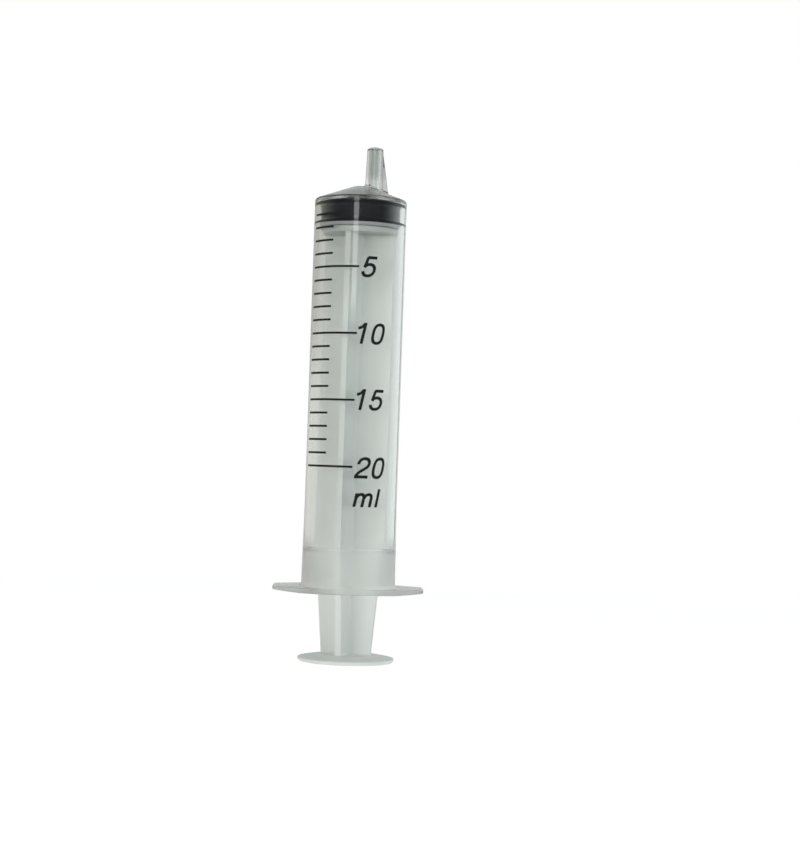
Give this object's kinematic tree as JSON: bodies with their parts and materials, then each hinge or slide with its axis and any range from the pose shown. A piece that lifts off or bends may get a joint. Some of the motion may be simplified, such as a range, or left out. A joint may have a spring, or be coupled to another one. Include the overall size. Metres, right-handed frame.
{
  "type": "disposable syringe",
  "caption": "Clear-walled disposable syringe: barrel with eccentric luer nozzle, finger flange and printed volume scale, cross-ribbed plunger rod and black rubber seal.",
  "frame": {"origin": "centre of the thumb rest's underside, on the plunger's axis, on the surface that the syringe stands on", "axes": "+Z along the barrel towards the nozzle's tip, +X along the finger flange on the nozzle's side, +Y across the flange"},
  "size_m": [0.0364, 0.025, 0.1251],
  "materials": {
    "barrel_plastic": "hazy translucent polypropylene, smooth moulded gloss",
    "rod_plastic": "milky translucent polyethylene or polypropylene, smooth moulded",
    "seal_rubber": "black rubber, satin, lightly siliconed",
    "scale_ink": "thin black screen-printed ink"
  },
  "bodies": {
    "plunger": {"plunger_rod": "rod_plastic"},
    "seal": {"plunger_seal": "seal_rubber"},
    "barrel": {"barrel": "barrel_plastic"}
  },
  "joints": [
    {"name": "plunger_turn", "type": "hinge", "parent": "plunger", "child": "seal", "pos_m": [0, 0, 0.107], "axis": [0, 0, 1], "continuous": true},
    {"name": "barrel_slide", "type": "slide", "parent": "seal", "child": "barrel", "axis": [0, 0, 1], "range_m": [0, 0.077]}
  ]
}
